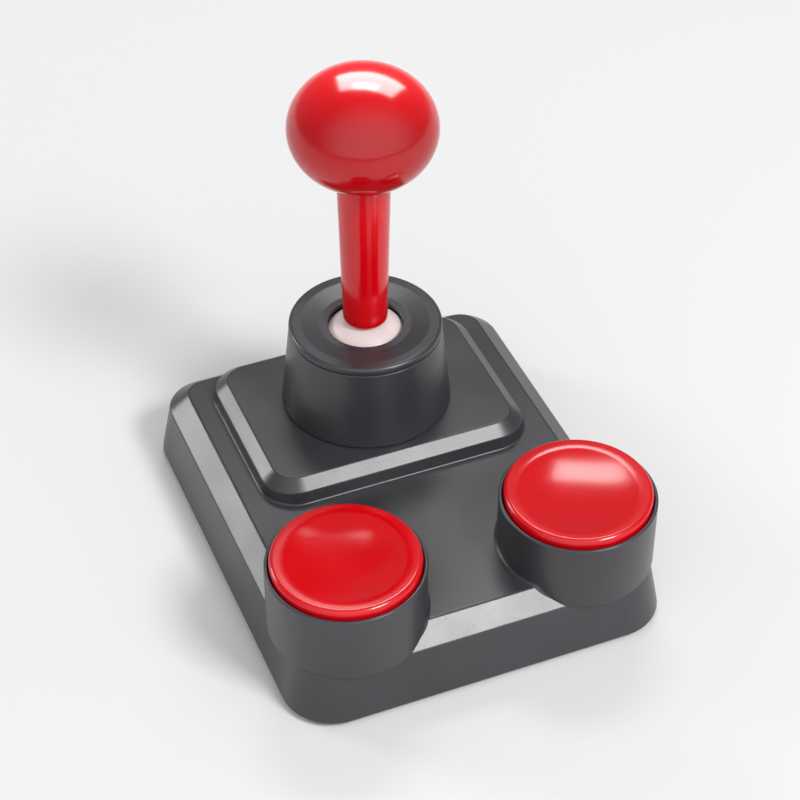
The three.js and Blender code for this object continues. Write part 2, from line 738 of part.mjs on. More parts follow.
// One fire contact under each button: the stem's round tip pushes the upper blade down.
const fireBladeTop = stemTipZ - fit;
for (const [side, name] of rightAndLeft) {
  const rootX = wellX - fireLever;
  const span = (x0, x1, halfY, z0, z1) => (side > 0
    ? block(x0, x1, wellY - halfY, wellY + halfY, z0, z1)
    : block(-x1, -x0, wellY - halfY, wellY + halfY, z0, z1));
  const fixedZ = onBoardZ + fireFixedHeight;
  const stack = join(
    span(rootX - fit - fireBlockLength, rootX - fit, fireBlockHalf, onBoardZ, fireBladeTop + bladeThick),
    span(rootX - fit - sunk, rootX + fireFixedReach, bladeWidth / 2, fixedZ, fixedZ + bladeThick),
  );
  piece(caseGroup, `fire_stack_${name}`, stack, insulator);
  const tipX = wellX + fireBladePast;
  const blade = span(rootX, tipX, bladeWidth / 2, fireBladeTop - bladeThick, fireBladeTop);
  piece(caseGroup, `fire_blade_${name}`, blade, contactBrass);
}

const headerX = bladeX + bladeSwing + bladeThick + contactBlockMargin + headerGap;
const headerY = stickY + headerPastStick;
const header = block(
  headerX, headerX + headerSize, headerY - headerSize, headerY + headerSize, onBoardZ, onBoardZ + headerSize,
);
piece(caseGroup, "cable_header", header, insulator);

/** Rubber ring in the back wall that the lead passes through. */
function makeGrommet() {
  const inner = wall / 2 + fit;
  const outer = inner + grommetFlangeThick;
  return turned([
    [cableBore, -outer],
    [grommetFlange, -outer],
    [grommetFlange, -inner],
    [grommetRadius, -inner],
    [grommetRadius, inner],
    [grommetFlange, inner],
    [grommetFlange, outer],
    [cableBore, outer],
  ]);
}

const grommet = piece(caseGroup, "cable_grommet", makeGrommet(), blackRubber);
grommet.rotation.x = Math.atan(sideSlope) - Math.PI / 2;
grommet.position.set(0, halfDepth - leanAt(grommetZ) - wall / 2, grommetZ);

export default model;
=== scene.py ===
# %% [markdown]
# # A two-button arcade joystick
# The object is a dark grey plastic box that leans in on all sides, with a raised pad, a round turret and a
# red ball-top stick, and two big red buttons in round wells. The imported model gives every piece's place and
# size. This script makes the surfaces that show, finely enough to catch light well, and gives every piece
# its finish.

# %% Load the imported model
import json
import math

import bmesh
import bpy
import numpy as np
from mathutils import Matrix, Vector

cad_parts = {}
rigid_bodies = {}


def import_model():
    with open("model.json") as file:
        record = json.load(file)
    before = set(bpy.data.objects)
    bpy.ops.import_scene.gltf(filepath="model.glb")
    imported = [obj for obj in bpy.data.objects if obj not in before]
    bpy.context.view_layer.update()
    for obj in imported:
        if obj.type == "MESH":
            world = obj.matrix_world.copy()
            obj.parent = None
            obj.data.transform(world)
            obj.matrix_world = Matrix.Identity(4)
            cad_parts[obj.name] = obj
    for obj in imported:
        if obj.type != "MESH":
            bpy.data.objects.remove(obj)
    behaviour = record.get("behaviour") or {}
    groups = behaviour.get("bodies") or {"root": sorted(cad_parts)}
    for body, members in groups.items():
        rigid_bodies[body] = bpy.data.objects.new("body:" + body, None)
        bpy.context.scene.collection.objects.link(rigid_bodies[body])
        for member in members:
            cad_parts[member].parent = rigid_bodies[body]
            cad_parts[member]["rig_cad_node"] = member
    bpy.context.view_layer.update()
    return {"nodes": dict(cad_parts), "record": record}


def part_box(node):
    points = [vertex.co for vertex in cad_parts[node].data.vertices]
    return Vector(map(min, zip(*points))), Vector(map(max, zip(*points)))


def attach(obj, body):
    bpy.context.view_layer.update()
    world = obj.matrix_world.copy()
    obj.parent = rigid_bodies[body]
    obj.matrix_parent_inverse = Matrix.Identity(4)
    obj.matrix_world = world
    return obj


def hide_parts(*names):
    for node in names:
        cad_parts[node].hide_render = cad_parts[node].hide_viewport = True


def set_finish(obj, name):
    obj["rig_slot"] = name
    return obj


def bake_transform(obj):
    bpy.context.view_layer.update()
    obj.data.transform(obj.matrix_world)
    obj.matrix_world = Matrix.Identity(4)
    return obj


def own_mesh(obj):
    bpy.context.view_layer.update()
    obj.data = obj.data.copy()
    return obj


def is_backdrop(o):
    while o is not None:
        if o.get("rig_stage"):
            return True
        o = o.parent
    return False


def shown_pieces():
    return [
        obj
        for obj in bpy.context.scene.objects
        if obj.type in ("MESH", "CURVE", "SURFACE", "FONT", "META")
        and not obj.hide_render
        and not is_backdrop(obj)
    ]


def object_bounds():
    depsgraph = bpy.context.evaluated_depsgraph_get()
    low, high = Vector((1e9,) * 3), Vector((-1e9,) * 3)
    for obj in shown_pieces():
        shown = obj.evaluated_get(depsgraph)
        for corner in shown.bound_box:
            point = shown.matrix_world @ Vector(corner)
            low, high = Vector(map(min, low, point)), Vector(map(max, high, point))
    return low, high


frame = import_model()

# %% [markdown]
# ## Places
# All shapes are worked out in millimetres and turned to metres when a mesh is made. Places come from the
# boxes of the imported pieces. What a box can't tell, such as the lean of a wall, is a value in the cell that
# needs it first.


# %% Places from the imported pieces
def corners(node):
    """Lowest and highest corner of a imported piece, in millimetres."""
    low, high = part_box(node)
    return np.array(low) * 1000, np.array(high) * 1000


fit = 0.3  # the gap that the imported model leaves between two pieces
case_low, case_high = corners("top_case")
turret_low, turret_high = corners("stick_turret")
cap_low, cap_high = corners("turret_cap")
half_width, half_depth = case_high[0], case_high[1]
bottom_z, well_top_z = case_low[2], case_high[2]
stick_y = (turret_low[1] + turret_high[1]) / 2
pad_z = turret_low[2] - fit
print("case", case_high - case_low, "stick at y", round(stick_y, 2), "pad at z", round(pad_z, 2))

# %% [markdown]
# ## Making meshes
# A moulded or turned piece is a profile carried along a path, so its surface is a function of two numbers:
# how far along the profile, and how far round the path. Numpy works out the whole grid of points at once.
# A Bevel modifier could round the edges afterwards. Rounding the profile first gives even arcs that can't
# collide, and it is those arcs that catch the light and draw the edge.


# %% Profiles with rounded corners
def rounded(points, radii, degrees=8.0, support=0.15):
    """Each corner of a polyline becomes an arc of its radius that touches both sides.

    There is one radius for each point between the first and the last. A support point just past each end
    of an arc keeps the shading of the flat stretch flat.
    """
    points = [np.array(point, float) for point in points]
    run = [points[0][None]]
    for before, corner, after, radius in zip(points, points[1:], points[2:], radii):
        back, ahead = before - corner, after - corner
        back /= np.linalg.norm(back)
        ahead /= np.linalg.norm(ahead)
        half = math.acos(float(np.clip(back @ ahead, -1, 1))) / 2
        centre = corner + (back + ahead) / np.linalg.norm(back + ahead) * radius / math.sin(half)
        first = corner + back * radius / math.tan(half)
        last = corner + ahead * radius / math.tan(half)
        start = math.atan2(*(first - centre)[::-1])
        sweep = (math.atan2(*(last - centre)[::-1]) - start + math.pi) % (2 * math.pi) - math.pi
        steps = max(2, math.ceil(abs(sweep) / math.radians(degrees)))
        angles = start + sweep * np.linspace(0, 1, steps + 1)
        arc = centre + radius * np.stack([np.cos(angles), np.sin(angles)], -1)
        run += [(first + back * support)[None], arc, (last + ahead * support)[None]]
    run.append(points[-1][None])
    return np.concatenate(run)


print("a rounded right angle has", len(rounded([(0, 0), (1, 0), (1, 1)], [0.2])), "points")


# %% Two kinds of surface
def turned(profile, x=0.0, y=0.0, segments=144):
    """S(t, a) = (r(t) cos a, r(t) sin a, z(t)): an [r, z] profile carried round an upright axis at x, y."""
    angles = np.linspace(0, 2 * math.pi, segments, endpoint=False)
    radius, height = np.asarray(profile, float).T
    grid = np.empty((len(radius), segments, 3))
    grid[..., 0] = x + radius[:, None] * np.cos(angles)
    grid[..., 1] = y + radius[:, None] * np.sin(angles)
    grid[..., 2] = height[:, None]
    return grid


def box_path(x0, x1, y0, y1, radius, steps=14, side_steps=8, support=0.5):
    """A round-cornered rectangle as spine points and outward directions.

    The outline at any inset is spine + direction * (radius - inset), so corners keep their centres.
    """
    spines, directions = [], []
    turn = np.linspace(0, math.pi / 2, steps + 1)
    corner_spots = [(x1 - radius, y1 - radius), (x0 + radius, y1 - radius), (x0 + radius, y0 + radius),
                    (x1 - radius, y0 + radius)]
    for i, (spot, following) in enumerate(zip(corner_spots, corner_spots[1:] + corner_spots[:1])):
        angles = turn + i * math.pi / 2
        direction = np.stack([np.cos(angles), np.sin(angles)], -1)
        side = np.array(following) - spot
        length = np.linalg.norm(side)
        between = np.linspace(0, length, side_steps + 1)[1:-1]
        along = np.concatenate([[support], between, [length - support]]) / length
        spines += [np.tile(spot, (len(turn), 1)), spot + along[:, None] * side]
        directions += [direction, np.tile(direction[-1], (len(along), 1))]
    return np.concatenate(spines), np.concatenate(directions), radius


def carried(profile, path):
    """S(t, u) = spine(u) + direction(u) * (radius - inset(t)), with height z(t): an [inset, z] profile."""
    spine, direction, radius = path
    inset, height = np.asarray(profile, float).T
    grid = np.empty((len(inset), len(spine), 3))
    grid[..., :2] = spine + direction * (radius - inset)[:, None, None]
    grid[..., 2] = height[:, None]
    return grid


print("a path round a box has", len(box_path(-1, 1, -1, 1, 0.5, support=0.1)[0]), "points")

# %% [markdown]
# The grid goes into a mesh in one step. A profile that ends on the axis gives a pole: its points are welded
# to one. A profile that ends away from the axis is closed with one flat face, and a profile that closes on
# itself gives a ring. A Boolean joins or cuts closed pieces, as the maker of a moulding tool does with
# solid blocks.


# %% From grids to a piece
crease_degrees = 32   # an edge that turns more than this stays sharp


def piece(name, *grids, ring=False, weld=1e-7):
    """A named object of one or more closed surfaces; points in mm, columns run round and meet."""
    points, faces, offset = [], [], 0
    for grid in grids:
        rows, columns = grid.shape[:2]
        row, column = np.arange(rows if ring else rows - 1), np.arange(columns)
        low, high = row[:, None] * columns, ((row + 1) % rows)[:, None] * columns
        right = (column + 1) % columns
        quads = np.stack([low + column, low + right, high + right, high + column], -1).reshape(-1, 4)
        faces += (quads + offset).tolist()
        if not ring:
            faces += [(column[::-1] + offset).tolist(), (column + (rows - 1) * columns + offset).tolist()]
        points.append(grid.reshape(-1, 3) / 1000)
        offset += rows * columns
    mesh = bpy.data.meshes.new(name)
    mesh.from_pydata(np.concatenate(points).tolist(), [], faces)
    work = bmesh.new()
    work.from_mesh(mesh)
    bmesh.ops.remove_doubles(work, verts=work.verts, dist=weld)
    bmesh.ops.recalc_face_normals(work, faces=work.faces)
    work.to_mesh(mesh)
    work.free()
    mesh.shade_smooth()
    mesh.set_sharp_from_angle(angle=math.radians(crease_degrees))
    made = bpy.data.objects.new(name, mesh)
    bpy.context.scene.collection.objects.link(made)
    print(f"{name}: {len(mesh.vertices)} points, {len(mesh.polygons)} faces")
    return made


# %% Joining, cutting and settling a piece
def combine(body, other, operation):
    """Joins another closed piece to a body, or cuts it away, and drops the other."""
    modifier = body.modifiers.new("combine", "BOOLEAN")
    modifier.operation, modifier.object, modifier.solver = operation, other, "MANIFOLD"
    evaluated = body.evaluated_get(bpy.context.evaluated_depsgraph_get())
    mesh = bpy.data.meshes.new_from_object(evaluated)
    body.modifiers.clear()
    body.data = mesh
    bpy.data.objects.remove(other)


def settle(made, body, slot, *nodes):
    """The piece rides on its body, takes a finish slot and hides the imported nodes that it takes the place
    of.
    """
    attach(made, body)
    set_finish(made, slot)
    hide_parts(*nodes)
    return made


# %% [markdown]
# ## Case
# The real case is one injection moulding. Its sides lean in so that it leaves the mould, and a broad bevel
# runs round the deck. It could start as a tapered cube with a Bevel modifier, but then the bevel's width
# would change at the corners. One profile carried round the outline keeps it the same all the way.

# %% Outside of the case
deck_z, shoulder_z = 23.0, 18.0
side_lean, bevel_run = 3.2, 6.0
body_corner = 15.0
underside_inset, deck_inset = 4.0, 13.0
bottom_round, shoulder_round, deck_round = 0.7, 1.1, 1.3
case_path = box_path(-half_width, half_width, -half_depth, half_depth, body_corner)
case_profile = rounded(
    [(underside_inset, bottom_z), (0.0, bottom_z), (side_lean, shoulder_z), (side_lean + bevel_run, deck_z),
     (deck_inset, deck_z)], [bottom_round, shoulder_round, deck_round])
sides = piece("case_shell", carried(case_profile, case_path))

# %% [markdown]
# The pad under the stick grows out of the same moulding, with a bevel of its own and a small fillet at its
# foot, where the mould's edge can't be sharp. It is carried round its outline in the same way. It reaches a
# little into the deck, so that the two solids join without a seam.

# %% Raised pad, with a fillet where it meets the deck
pad_half_width = half_width - 15.5
pad_front, pad_back = stick_y - 31.5, stick_y + 29.5
pad_corner = 11.0
pad_lean, pad_bevel_drop, pad_bevel_run = 0.6, 3.0, 3.6
sunk = 1.2            # how far the pad reaches into the deck
fillet_reach = 1.0
fillet_edge = 0.02    # keeps the thin edge of the fillet just above the deck
pad_under_inset, pad_middle_inset = 3.0, 9.0
hidden_round = 0.05   # for corners that don't show
pad_path = box_path(-pad_half_width, pad_half_width, pad_front, pad_back, pad_corner)
pad_profile = rounded(
    [(pad_under_inset, deck_z - sunk), (-fillet_reach, deck_z - sunk), (-fillet_reach, deck_z),
     (0.0, deck_z + fillet_edge), (pad_lean, pad_z - pad_bevel_drop), (pad_lean + pad_bevel_run, pad_z),
     (pad_middle_inset, pad_z)], [hidden_round, hidden_round, 0.7, 0.9, 0.9], support=0.02)
combine(sides, piece("pad", carried(pad_profile, pad_path)), "UNION")

# %% [markdown]
# Each well is a round wall that stands partly on the deck and partly out over the bevel. A Bevel modifier on
# the joined mesh would fail where the wall runs off the deck, so the wall's foot is worked out instead. It
# follows the case: a fillet on the deck that shrinks down the bevel and turns into a rounded lower edge
# where the wall hangs over.


# %% Height of the case under any point
def case_height(x, y):
    """Height of the case's outside at x, y, from how far that point lies inside the bottom outline."""
    over_x = np.abs(x) - (half_width - body_corner)
    over_y = np.abs(y) - (half_depth - body_corner)
    beyond = np.hypot(np.maximum(over_x, 0), np.maximum(over_y, 0))
    inset = body_corner - beyond - np.minimum(np.maximum(over_x, over_y), 0)
    return np.interp(inset, [0, side_lean, side_lean + bevel_run], [bottom_z, shoulder_z, deck_z])


print("height at the middle of the front edge:", float(case_height(0.0, -half_depth)))

# %% Wells for the buttons
well_radius = 22.3
well_x, well_y = half_width - well_radius, well_radius - half_depth
rim_round = 0.45
straight_to = deck_z + 6
edge_inset, edge_sunk = 2.0, 0.04   # how far the foot's thin edge turns in and dips into the case


def well_grid(x, segments=192, flare_deck=1.2, flare_over=0.6, foot_rows=9):
    """S(t, a): straight wall, then a curve P0 P1 P2 whose points follow the case's height round the well.

    The curve's height is (1 - t)^2 P0 + 2 t (1 - t) P1 + t^2 P2, and its radius grows with t^2.
    """
    angles = np.linspace(0, 2 * math.pi, segments, endpoint=False)

    def height_under(radius):
        """Height of the case under a circle round the well, but not below the shoulder."""
        under = case_height(x + radius * np.cos(angles), well_y + radius * np.sin(angles))
        return np.maximum(under, shoulder_z)

    meet = height_under(well_radius)
    share = (meet - shoulder_z) / (deck_z - shoulder_z)
    flare = (flare_deck + flare_over) * share * share * (3 - 2 * share) - flare_over
    foot = height_under(well_radius + flare) - edge_sunk
    t = np.linspace(0, 1, foot_rows)[:, None]
    foot_radius = well_radius + flare * t * t
    foot_height = (1 - t) ** 2 * (meet + np.abs(flare)) + 2 * t * (1 - t) * meet + t * t * foot
    rim = rounded([(0, well_top_z), (well_radius, well_top_z), (well_radius, straight_to)], [rim_round])
    lower = np.array([(well_radius - edge_inset, shoulder_z - edge_sunk), (0, shoulder_z - edge_sunk)])
    all_round = np.ones(segments)
    radius = np.concatenate([rim[:, :1] * all_round, foot_radius, lower[:, :1] * all_round])
    height = np.concatenate([rim[:, 1:] * all_round, foot_height, lower[:, 1:] * all_round])
    return np.stack([x + radius * np.cos(angles), well_y + radius * np.sin(angles), height], -1)


for side in (-1, 1):
    combine(sides, piece("well", well_grid(side * well_x)), "UNION")

# %% [markdown]
# The case is hollow, with a rebate round its foot that takes the base plate. A Solidify modifier would give
# an even wall, but not the rebate or the bores. So the hollow is a cutter of its own, carried round the same
# outline as the outside, and the bores are turned cutters.

# %% Hollow
wall, rim_wall = 2.5, 1.3
seat_z = 4.3          # where the base plate seats
ledge_rise = 0.01     # how much that seat rises inwards
past = 1.0            # how far a cutter reaches past the surface that it cuts


def lean_at(z):
    """How far in the case's side leans at height z."""
    return (z - bottom_z) * side_lean / (shoulder_z - bottom_z)


rebate_inset = lean_at(seat_z) + rim_wall
hollow_profile = [(rebate_inset, bottom_z - past), (rebate_inset, seat_z),
                  (lean_at(seat_z) + wall, seat_z + ledge_rise),
                  (lean_at(shoulder_z - wall / 2) + wall, shoulder_z - wall / 2),
                  (side_lean + bevel_run + wall / 3, deck_z - wall)]
combine(sides, piece("hollow", carried(hollow_profile, case_path)), "DIFFERENCE")
under_pad_path = box_path(-pad_half_width + wall, pad_half_width - wall, pad_front + wall, pad_back - wall,
                          pad_corner - wall)
under_pad_profile = [(0, deck_z - wall - past), (pad_lean + pad_bevel_run / 2, pad_z - wall)]
combine(sides, piece("under_pad", carried(under_pad_profile, under_pad_path)), "DIFFERENCE")

# %% Bores for the buttons and the stick
well_bore, bore_chamfer = 21.2, 0.35
stem_hole_radius, stem_hole_reach = 3.3, 4.0
stick_hole_radius = 13.2


def peg(radius, low_z, high_z):
    """[r, z] profile of a plain round cutter."""
    return [(0, low_z), (radius, low_z), (radius, high_z), (0, high_z)]


bore = [(0, deck_z), (well_bore, deck_z), (well_bore, well_top_z - bore_chamfer),
        (well_bore + bore_chamfer, well_top_z), (well_bore + bore_chamfer, well_top_z + past),
        (0, well_top_z + past)]
stem_hole = peg(stem_hole_radius, deck_z - stem_hole_reach, deck_z + past)
for side in (-1, 1):
    combine(sides, piece("bore", turned(bore, side * well_x, well_y, segments=192)), "DIFFERENCE")
    combine(sides, piece("stem_hole", turned(stem_hole, side * well_x, well_y, segments=48)), "DIFFERENCE")
stick_hole = peg(stick_hole_radius, deck_z, pad_z + past)
combine(sides, piece("stick_hole", turned(stick_hole, 0, stick_y)), "DIFFERENCE")

# %% [markdown]
# The lead leaves through a rubber ring in the back wall. The wall leans, and the hole is square to it. The
# ring could be a turned object that is then rotated, but a finished piece stays unrotated here. So the grid
# itself is tilted by the wall's lean before it becomes a mesh.

# %% Cable hole and its rubber ring
grommet_low, grommet_high = corners("cable_grommet")
grommet_z = (grommet_low[2] + grommet_high[2]) / 2
grommet_y = half_depth - lean_at(grommet_z) - wall / 2
lean_angle = math.atan(side_lean / (shoulder_z - bottom_z))
cable_hole_radius, cable_hole_reach = 4.5, 8.0
ring_bore, ring_neck, ring_flange, flange_thick = 2.3, 4.2, 5.4, 0.8
seam_gap = 0.01       # between the first and the last point of a profile that closes on itself


def through_back_wall(grid):
    """Turns a shape made round Z until its axis is square to the back wall, and moves it there."""
    x, y, z = np.moveaxis(grid, -1, 0)
    out = np.array([0, math.cos(lean_angle), math.sin(lean_angle)])
    up = np.array([0, -math.sin(lean_angle), math.cos(lean_angle)])
    spot = np.array([0, grommet_y, grommet_z])
    return spot + x[..., None] * np.array([1, 0, 0]) - y[..., None] * up + z[..., None] * out


cable_hole = peg(cable_hole_radius, -cable_hole_reach, cable_hole_reach)
combine(sides, piece("cable_hole", through_back_wall(turned(cable_hole, segments=64))), "DIFFERENCE")
neck_z = wall / 2 + fit
face_z = neck_z + flange_thick
ring_profile = rounded(
    [(ring_bore, 0), (ring_bore, face_z), (ring_flange, face_z), (ring_flange, neck_z), (ring_neck, neck_z),
     (ring_neck, -neck_z), (ring_flange, -neck_z), (ring_flange, -face_z), (ring_bore, -face_z),
     (ring_bore, -seam_gap)],
    [0.35, 0.3, *[hidden_round] * 4, 0.3, 0.35], support=0.02)
grommet = piece("cable_ring", through_back_wall(turned(ring_profile, segments=64)), ring=True)
settle(grommet, "case", "rubber", "cable_grommet")

# %% [markdown]
# Cutting leaves large flat faces next to narrow fillets, and plain smooth shading would smear one into the
# other. A Weighted Normal modifier lets the large face decide the shading, so that the deck stays flat up to
# its edge.

# %% Finish the case
sides.data.name = "case_shell"
sides.data.shade_smooth()
sides.data.set_sharp_from_angle(angle=math.radians(crease_degrees))
weighted = sides.modifiers.new("flat_faces_lead", "WEIGHTED_NORMAL")
weighted.keep_sharp = True
settle(sides, "case", "case_plastic", "top_case")
print("case faces:", len(sides.data.polygons))

# %% [markdown]
# ## Turret and its cap
# The turret tapers upwards a little so that it leaves its mould. It is hollow, with a ledge inside for the
# pivot carrier. A cylinder with edited loops would do for the outside, but a turned profile gives the inside
# and every rounded edge in one closed surface.

# %% Turret
turret_foot, turret_top = turret_high[0], cap_high[0]
socket_radius, turret_bore = 19.0, 17.9
ledge_z = turret_low[2] + 8.5
seam_z = turret_low[2] + 2   # the profile starts and ends on the plain inner wall
turret_profile = rounded(
    [(socket_radius, seam_z), (socket_radius, turret_low[2]), (turret_foot, turret_low[2]),
     (turret_top, turret_high[2]), (turret_bore, turret_high[2]), (turret_bore, ledge_z),
     (socket_radius, ledge_z), (socket_radius, seam_z + seam_gap)],
    [0.3, 0.35, 0.3, 0.2, hidden_round, hidden_round], support=0.03)
turret_body = piece("turret_housing", turned(turret_profile, 0, stick_y, segments=192), ring=True)
settle(turret_body, "case", "case_plastic", "stick_turret")

# %% [markdown]
# The cap is a separate moulding, pressed in, with a rounded shoulder and a shallow dish that leads down to
# the hole for the stick. It is turned too. It could be one piece with the turret, but as its own piece, 0.3
# mm above it, the joint shows as a fine dark line.

# %% Turret cap
cap_bottom, cap_top = turret_high[2] + fit, cap_high[2]
cap_seam_z = cap_bottom + 0.6
cap_hole = 10.95
spigot_inner, spigot_outer = 16.3, 17.6
flat_rim, dish_slope, dish_drop = 3.6, 2.5, 0.95
cap_profile = rounded(
    [(cap_hole, cap_seam_z), (cap_hole, cap_bottom), (spigot_inner, cap_bottom),
     (spigot_inner, cap_low[2]), (spigot_outer, cap_low[2]), (spigot_outer, cap_bottom),
     (turret_top, cap_bottom), (turret_top, cap_top), (turret_top - flat_rim, cap_top),
     (cap_hole + dish_slope, cap_top - dish_drop), (cap_hole, cap_top - dish_drop),
     (cap_hole, cap_seam_z + seam_gap)],
    [0.2, hidden_round, 0.2, 0.2, hidden_round, 0.2, 1.15, 3.0, 2.5, 0.35], support=0.03)
turret_lid = piece("turret_lid", turned(cap_profile, 0, stick_y, segments=192), ring=True)
settle(turret_lid, "case", "case_plastic", "turret_cap")

# %% [markdown]
# ## Stick
# The ball is a slightly flattened sphere, moulded with a socket underneath for the sleeve and the shaft. A UV
# sphere scaled in height would look the same from outside. A profile of half an ellipse is as short to
# write, and it carries on into the socket, so the ball is closed all round.

# %% Ball knob
ball_high = corners("ball_knob")[1]
sleeve_low, sleeve_high = corners("shaft_sleeve")
ball_radius, ball_half_height = ball_high[0], 17.0
ball_centre = ball_high[2] - ball_half_height
mouth_radius, mouth_lip = 8.0, 0.3
shaft_clearance = 4.3
socket_top = sleeve_high[2] + fit
shaft_top = corners("steel_shaft")[1][2] + fit
angles = np.linspace(-math.acos(mouth_radius / ball_radius), math.pi / 2, 60)
# r = radius cos a, z = centre + half height sin a, from the mouth up to the pole
ball_skin = np.stack([ball_radius * np.cos(angles), ball_centre + ball_half_height * np.sin(angles)], -1)
ball_inside = np.array([(0, shaft_top), (shaft_clearance, shaft_top), (shaft_clearance, socket_top),
                        (mouth_radius, socket_top), (mouth_radius, ball_skin[0][1] + mouth_lip)])
ball = piece("ball_top", turned(np.concatenate([ball_inside, ball_skin]), 0, stick_y, segments=160))
settle(ball, "stick", "red_plastic", "ball_knob")

# %% [markdown]
# The red sleeve is a plain moulded tube over the steel shaft, a little wider at the top. It is turned like
# the rest, because a cone from the Add menu would have no wall and no rounded rims.

# %% Sleeve of the stick
sleeve_foot_radius = 6.5
sleeve_seam_z = sleeve_low[2] + 5
sleeve_profile = rounded(
    [(shaft_clearance, sleeve_seam_z), (shaft_clearance, sleeve_low[2]), (sleeve_foot_radius, sleeve_low[2]),
     (sleeve_high[0], sleeve_high[2]), (shaft_clearance, sleeve_high[2]),
     (shaft_clearance, sleeve_seam_z + seam_gap)],
    [0.2, 0.5, 0.3, 0.2], support=0.05)
sleeve = piece("stick_sleeve", turned(sleeve_profile, 0, stick_y, segments=96), ring=True)
settle(sleeve, "stick", "red_plastic", "shaft_sleeve")

# %% [markdown]
# The pale dome keeps dust out of the turret. It tilts with the stick and is part of a sphere round the tilt
# centre, so the hole in the cap stays filled at every tilt. Any other shape would open a gap on one side.
# Two arcs round that centre make its outside and its inside.

# %% Pale dome
dome_high = corners("dust_dome")[1]
pivot_z = pad_z + 14.0
dome_flat = 0.3       # how far the flat that the sleeve stands on lies under the full sphere's top
dome_wall = 1.6
dome_reach = math.radians(59.5)
dome_radius = dome_high[2] + dome_flat - pivot_z


def arc(radius, start_angle, end_angle, steps):
    """Points on a circle round the tilt centre; angles are measured from straight up."""
    angle = np.linspace(start_angle, end_angle, steps)
    return np.stack([radius * np.sin(angle), pivot_z + radius * np.cos(angle)], -1)


outer = arc(dome_radius, dome_reach, math.acos((dome_radius - dome_flat) / dome_radius), 40)
inner_radius = dome_radius - dome_wall
inner = arc(inner_radius, math.asin(shaft_clearance / inner_radius), dome_reach, 30)
dome_profile = np.concatenate([outer, [(shaft_clearance, dome_high[2])], inner])
dome = piece("pale_dome", turned(dome_profile, 0, stick_y, segments=128), ring=True)
settle(dome, "stick", "pale_nylon", "dust_dome")

# %% [markdown]
# ## Buttons
# Each button is a moulded cap almost as wide as its well. A finger rests in a shallow dish with a rounded rim
# round it, and a stem under the cap goes down to the contact. The dish could be sculpted. A power of the
# distance from the rim gives the same soft bowl every time.


# %% Button caps
stem_radius = 3.0
cap_thickness, skirt_wall, skirt_depth = 3.7, 2, 8
dish_radius, dish_depth, dish_power = 17.0, 1.9, 2.2
rim_flat = 1.6


def arc_tip(z, radius):
    """[r, z] profile of a stem's round tip: r = radius sin a, z = tip + radius (1 - cos a)."""
    angle = np.linspace(0, math.pi / 2, 12)[:-1]
    return np.stack([radius * np.sin(angle), z + radius * (1 - np.cos(angle))], -1)


def button_profile(low, high):
    """[r, z] profile of a cap: stem, hollow underside, skirt, rim and dish.

    The dish is z = rim - depth * (1 - s^power), where s falls from 1 at its edge to 0 in the middle.
    """
    radius, rim_z = (high[0] - low[0]) / 2, high[2]
    under_z = rim_z - cap_thickness
    share = np.linspace(0, 1, 24)
    dish = np.stack([dish_radius * (1 - share), rim_z - dish_depth * (1 - (1 - share) ** dish_power)], -1)
    body = rounded(
        [(stem_radius, low[2] + stem_radius), (stem_radius, under_z), (radius - skirt_wall, under_z),
         (radius - skirt_wall, rim_z - skirt_depth), (radius, rim_z - skirt_depth), (radius, rim_z),
         (dish_radius + rim_flat, rim_z)],
        [0.6, 0.6, 0.3, 0.4, 1.25], support=0.05)
    return np.concatenate([arc_tip(low[2], stem_radius), body, dish])


for side in ("left", "right"):
    low, high = corners(f"button_cap_{side}")
    x, y = (low[:2] + high[:2]) / 2
    cap = piece(f"fire_button_{side}", turned(button_profile(low, high), x, y, segments=160))
    settle(cap, f"button_{side}", "red_plastic", f"button_cap_{side}")

# %% [markdown]
# ## Springs
# A button comes back up on a coil spring, and a larger one centres the stick. Each is steel wire wound on an
# arbor, with its end turns closed so that it stands flat. A coil is a circle carried along a helix, so it is
# worked out rather than wound with a Screw modifier, whose ends couldn't be closed. A button's spring rides
# on its button. The centring spring sits between the gimbal and the stick, and stops a little short of its
# seat, so that a tilt doesn't drive its top turn into the carrier.


# %% Springs
def coil(low, high, radius, wire, turns, steps=40, sides=12):
    """S(u, v) = helix(u) + wire * (cos v outwards + sin v upwards); the end turns rise by one wire only."""
    turn = np.linspace(0, turns, turns * steps + 1)[:, None]
    round_wire = np.linspace(0, 2 * math.pi, sides, endpoint=False)
    rise = np.interp(turn, [0, 1, turns - 1, turns],
                     [low[2] + wire, low[2] + 3 * wire, high[2] - 3 * wire, high[2] - wire])
    reach = radius + wire * np.cos(round_wire)
    x, y = (low[:2] + high[:2]) / 2
    return np.stack([x + reach * np.cos(turn * 2 * math.pi), y + reach * np.sin(turn * 2 * math.pi),
                     rise + wire * np.sin(round_wire)], -1)


for side in ("left", "right"):
    low, high = corners(f"button_spring_{side}")
    spring = piece(f"return_spring_{side}", coil(low, high, radius=5.6, wire=0.5, turns=5))
    settle(spring, f"button_{side}", "steel", f"button_spring_{side}")
    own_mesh(spring)
low, high = corners("centring_spring")
tilt_room = np.array([0.0, 0.0, 0.7])
spring = piece("stick_spring", coil(low, high - tilt_room, radius=7.5, wire=0.6, turns=5))
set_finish(spring, "steel")
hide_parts("centring_spring")
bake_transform(spring)

# %% [markdown]
# ## Feet and screws underneath
# They show only when the joystick is turned over. A foot is a round rubber pad with a softened lower edge. A
# plain disc would do, but its edge wouldn't catch the light.

# %% Feet
for node in [name for name in frame["nodes"] if name.startswith("foot_")]:
    low, high = corners(node)
    radius = (high[0] - low[0]) / 2
    x, y = (low[:2] + high[:2]) / 2
    foot_profile = rounded([(0, high[2]), (radius, high[2]), (radius, 0), (0, 0)], [0.2, 0.8])
    settle(piece("rubber_" + node, turned(foot_profile, x, y, segments=64)), "case", "rubber", node)

